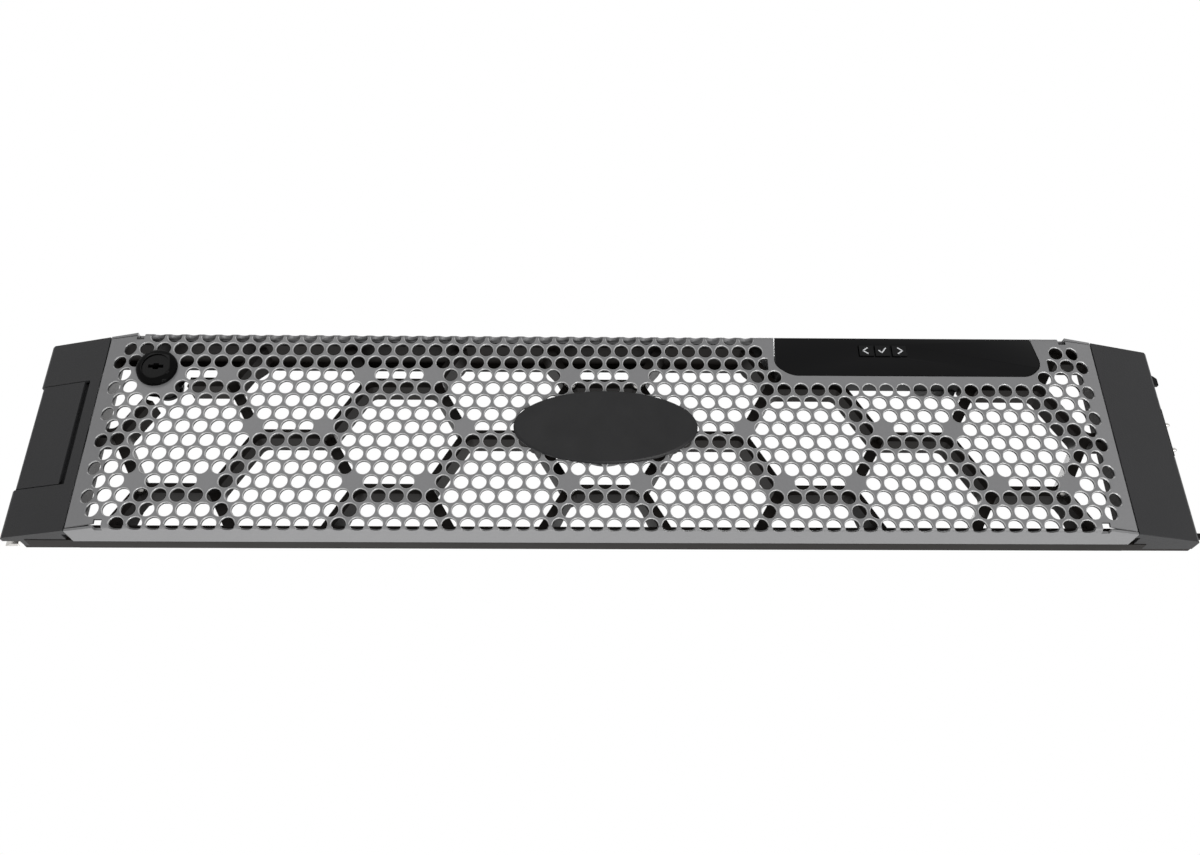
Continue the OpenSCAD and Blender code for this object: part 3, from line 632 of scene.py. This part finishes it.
# %% Round the cover's edges
cover = merged_copy("display_cover", "rear_cover", "frame_black")
apply_modifier(cover, "BEVEL", width=0.00035, segments=2, limit_method="ANGLE", angle_limit=math.radians(38))
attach(cover, "bezel")
shade(cover, 32)

# %% [markdown]
# ## The lock's thread
# The barrel is threaded so that the nut can clamp the lock to the sheet. Plain rings would do from afar, but a
# real thread climbs. The groove is a small diamond that the Screw modifier winds along the barrel, and it is cut
# into the part behind the nut, where the thread can be seen. The nut hides the rest.

# %% Cut the thread
THREAD_PITCH = 0.001
THREAD_DEPTH = 0.00042
BARREL_R = 6.02

barrel = merged_copy("lock_body", "threaded_lock_body", "lock_black")
nothing_selected()
bpy.ops.mesh.primitive_circle_add(vertices=4, radius=THREAD_DEPTH, location=mm(BARREL_R, 0, 0),
                                  rotation=(math.pi / 2, 0, 0))
groove = settle(bpy.context.object)
apply_modifier(groove, "SCREW", axis="Z", angle=math.tau, screw_offset=THREAD_PITCH, iterations=4, steps=36,
               render_steps=36)
pick_all(groove)
bpy.ops.mesh.fill_holes(sides=0)
bpy.ops.mesh.select_all(action="SELECT")
bpy.ops.mesh.normals_make_consistent(inside=False)
done()
groove.rotation_euler = (-math.pi / 2, 0, 0)
groove.location = mm(LOCK_X, -0.6, LOCK_Z)
settle(groove)
cut(barrel, groove)
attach(barrel, "bezel")
shade(barrel, 32)

# %% [markdown]
# ## The latch's spring
# The real spring is wound from wire and sits between the frame's inner wall and the button. Pushing the button
# squeezes it. Riding on either body, one end would cut through its neighbour. Here the frame's spring is only
# merged into a copy in bright steel, shaded smooth, and its placement is written into its mesh.

# %% A merged copy of the spring
spring = merged_copy("latch_spring", "coil_spring", "bright_steel", flat=False)
shade(spring, 50)
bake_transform(spring)


# %% [markdown]
# ## Softer edges
# Moulded and painted parts have no knife edges, and a thin highlight along an edge is what makes them look real.
# The frame's pieces are loose triangles, so a Weld joins them before a small Bevel rounds each real edge. Both
# stay live, so the frame's own meshes aren't changed.

# %% Round the edges of the frame's pieces
def soften(obj, width):
    weld = obj.modifiers.new("weld", "WELD")
    weld.merge_threshold = 0.00001
    bevel = obj.modifiers.new("bevel", "BEVEL")
    bevel.width = width / 1000
    bevel.segments = 2
    bevel.limit_method = "ANGLE"
    bevel.angle_limit = math.radians(38)


edge_widths = {
    "rear_frame": 0.35, "left_end_cap": 0.45, "right_end_cap": 0.45, "release_button": 0.45,
    "display_bracket": 0.15, "left_key": 0.3, "select_key": 0.3, "right_key": 0.3, "connector_housing": 0.3,
    "rack_hooks": 0.2, "latch_slider": 0.3, "latch_bolts": 0.25, "lock_cam": 0.25, "lock_nut": 0.2,
    "display_housing": 0.3, "ground_tab": 0.08,
}
for name, width in edge_widths.items():
    soften(nodes[name], width)
print("softened:", len(edge_widths), "pieces")


# %% [markdown]
# ## The key marks
# The three keys carry a left arrow, a tick and a right arrow in pale print. Print could be a mask in the
# material. As thin bars that ride on their key it keeps crisp edges and moves with the press. Each mark is two
# bars, turned and laid on the key's face.

# %% Print the key marks
KEY_Z = MID + 36.2
KEY_FACE = FRONT + 0.1 - 0.5 - 0.01
PRINT = 0.02


def bar(name, x, z, length, angle):
    made = block(name, (-length / 2, -PRINT, -0.24), (length / 2, PRINT, 0.24))
    made.rotation_euler = (0, -math.radians(angle), 0)
    made.location = mm(x, KEY_FACE, z)
    return settle(made)


mark_paint = finish("pale print", (0.55, 0.56, 0.57), 0.5, uneven=0.05)
marks = {
    "left_key": (107, [(-0.35, 0.72, 2.5, 35), (-0.35, -0.72, 2.5, -35)]),
    "select_key": (113.6, [(-0.95, -0.35, 1.7, -45), (0.55, 0.15, 3.1, 52)]),
    "right_key": (120.5, [(0.35, 0.72, 2.5, -35), (0.35, -0.72, 2.5, 35)]),
}
for key, (x, bars) in marks.items():
    mark = together([bar(key + "_mark", x + dx, KEY_Z + dz, length, angle) for dx, dz, length, angle in bars])
    mark.name = key + "_mark"
    put_finish(mark, "key_black", mark_paint)
    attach(mark, key + "_body")
print("marks:", list(marks))

# %% [markdown]
# The label on the left end plate says nothing here. Five plain ruled lines stand for its print, made as thin
# bars like the key marks. Its place is read from the label itself, so the lines stay on it.

# %% Rule the label
label = nodes["rear_label"]
low, high = Vector(label.bound_box[0]) * 1000, Vector(label.bound_box[6]) * 1000
rules = together([block("rule", (low.x + 2, high.y - 0.01, low.z + 4 + 1.8 * k),
                        (high.x - (2 if k else 5), high.y + PRINT, low.z + 4.5 + 1.8 * k)) for k in range(5)])
rules.name = "label_rules"
put_finish(rules, "label_white", finish("dark print", (0.05, 0.05, 0.05), 0.5, uneven=0.05))
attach(rules, "bezel")
print("label from", list(low), "to", list(high))

# %% [markdown]
# ## Floor
# The camera stands low in front and looks up at the bezel, so it is under the level of the floor. The floor is
# therefore shown only from above, and only to the camera. Away from the bezel it fades into the white of the
# background, like a studio's paper sweep. A plain white plane would end in a hard line there.

# %% Lay the floor
nothing_selected()
bpy.ops.mesh.primitive_plane_add(size=12, location=(0, 0, -0.0002))
floor = bpy.context.object
floor.name = "floor"
floor_paint = bpy.data.materials.new("floor white")
floor_paint.use_nodes = True
tree = floor_paint.node_tree
tree.nodes.clear()
out = node(tree, "OutputMaterial")
clear = node(tree, "BsdfTransparent")
white = node(tree, "BsdfDiffuse")
white.inputs["Color"].default_value = (0.86, 0.86, 0.86, 1)
sweep = node(tree, "Emission")
sweep.inputs["Color"].default_value = (1, 1, 1, 1)
where = node(tree, "TexCoord")
distance = node(tree, "VectorMath", operation="LENGTH")
fade = node(tree, "MapRange", interpolation_type="SMOOTHSTEP")
fade.inputs["From Min"].default_value = 0.4
fade.inputs["From Max"].default_value = 1.6
ground = node(tree, "MixShader")
mix = node(tree, "MixShader")
path = node(tree, "LightPath")
side = node(tree, "NewGeometry")
not_back = node(tree, "Math", operation="SUBTRACT")
not_back.inputs[0].default_value = 1.0
front_only = node(tree, "Math", operation="MULTIPLY")
wire(tree, (side.outputs["Backfacing"], not_back.inputs[1]), (path.outputs["Is Camera Ray"], front_only.inputs[0]),
     (not_back.outputs[0], front_only.inputs[1]), (front_only.outputs[0], mix.inputs["Fac"]),
     (where.outputs["Object"], distance.inputs[0]), (distance.outputs["Value"], fade.inputs["Value"]),
     (fade.outputs[0], ground.inputs["Fac"]), (white.outputs[0], ground.inputs[1]),
     (sweep.outputs[0], ground.inputs[2]), (clear.outputs[0], mix.inputs[1]),
     (ground.outputs[0], mix.inputs[2]), (mix.outputs[0], out.inputs["Surface"]))
floor.data.materials.append(floor_paint)
print("floor:", floor_paint.name)

# %% [markdown]
# ## World
# White all round gives the flat studio light. At full strength it would wash out the black lacquer, so it lights
# surfaces with about a third, while the camera and mirror-like reflections still see plain white.

# %% Light from all round
AMBIENT = 0.38

world = bpy.data.worlds.new("studio")
bpy.context.scene.world = world
world.use_nodes = True
tree = world.node_tree
tree.nodes.clear()
out = node(tree, "OutputWorld")
around = node(tree, "Background")
around.inputs["Color"].default_value = (1, 1, 1, 1)
path = node(tree, "LightPath")
seen = node(tree, "Math", operation="MAXIMUM")
seen_more = node(tree, "Math", operation="MAXIMUM")
strength = node(tree, "MapRange")
strength.inputs["To Min"].default_value = AMBIENT
strength.inputs["To Max"].default_value = 1.0
wire(tree, (path.outputs["Is Camera Ray"], seen.inputs[0]), (path.outputs["Is Glossy Ray"], seen.inputs[1]),
     (seen.outputs[0], seen_more.inputs[0]), (path.outputs["Is Transmission Ray"], seen_more.inputs[1]),
     (seen_more.outputs[0], strength.inputs["Value"]), (strength.outputs[0], around.inputs["Strength"]),
     (around.outputs[0], out.inputs["Surface"]))
print("ambient light:", AMBIENT)


# %% [markdown]
# ## Lamps
# Four round softboxes stand well off the bezel: one above in front for the face, one below in front for the
# undersides that the camera sees, and two behind for the lattice and the back of the sheet. The last one hangs
# low and steep, because from farther out it would mirror in the bottom flange.

# %% Set up the softboxes
def softbox(name, at, size, power):
    nothing_selected()
    bpy.ops.object.light_add(type="AREA", location=at)
    lamp = bpy.context.object
    lamp.name = name
    lamp.data.shape = "DISK"
    lamp.data.size = size
    lamp.data.energy = power
    lamp.rotation_euler = (Vector((0, 0, 0.04)) - Vector(at)).to_track_quat("-Z", "Y").to_euler()
    print(name, power, "W")


softbox("key_light", (-0.7, -1.3, 1.2), 0.9, 9)
softbox("low_light", (0.5, -0.7, -0.9), 0.5, 15)
softbox("back_light", (0.4, 1.3, 1.1), 1.0, 16)
softbox("low_back_light", (-0.3, 0.7, -1.1), 1.0, 9)

# %% [markdown]
# ## Camera
# The bezel is seen from the front and below, from close by, with the lens that shows its full width. The camera
# is aimed at the middle of the face and leans by a fraction of a degree. Colours are shown as they are written,
# with the Standard view.

# %% Aim the camera
bpy.ops.object.camera_add(location=mm(-8.6, -383.4, -161.2))
camera = bpy.context.object
aim = mm(-1.9, FRONT, MID) - camera.location
camera.rotation_euler = aim.to_track_quat("-Z", "Y").to_euler()
camera.rotation_euler.rotate_axis("Z", math.radians(-0.22))
camera.data.lens = 32.65
camera.data.sensor_width = 36
camera.data.clip_start = 0.01
bpy.context.scene.camera = camera
bpy.context.scene.view_settings.view_transform = "Standard"
print("camera", round(aim.length * 1000), "mm away")
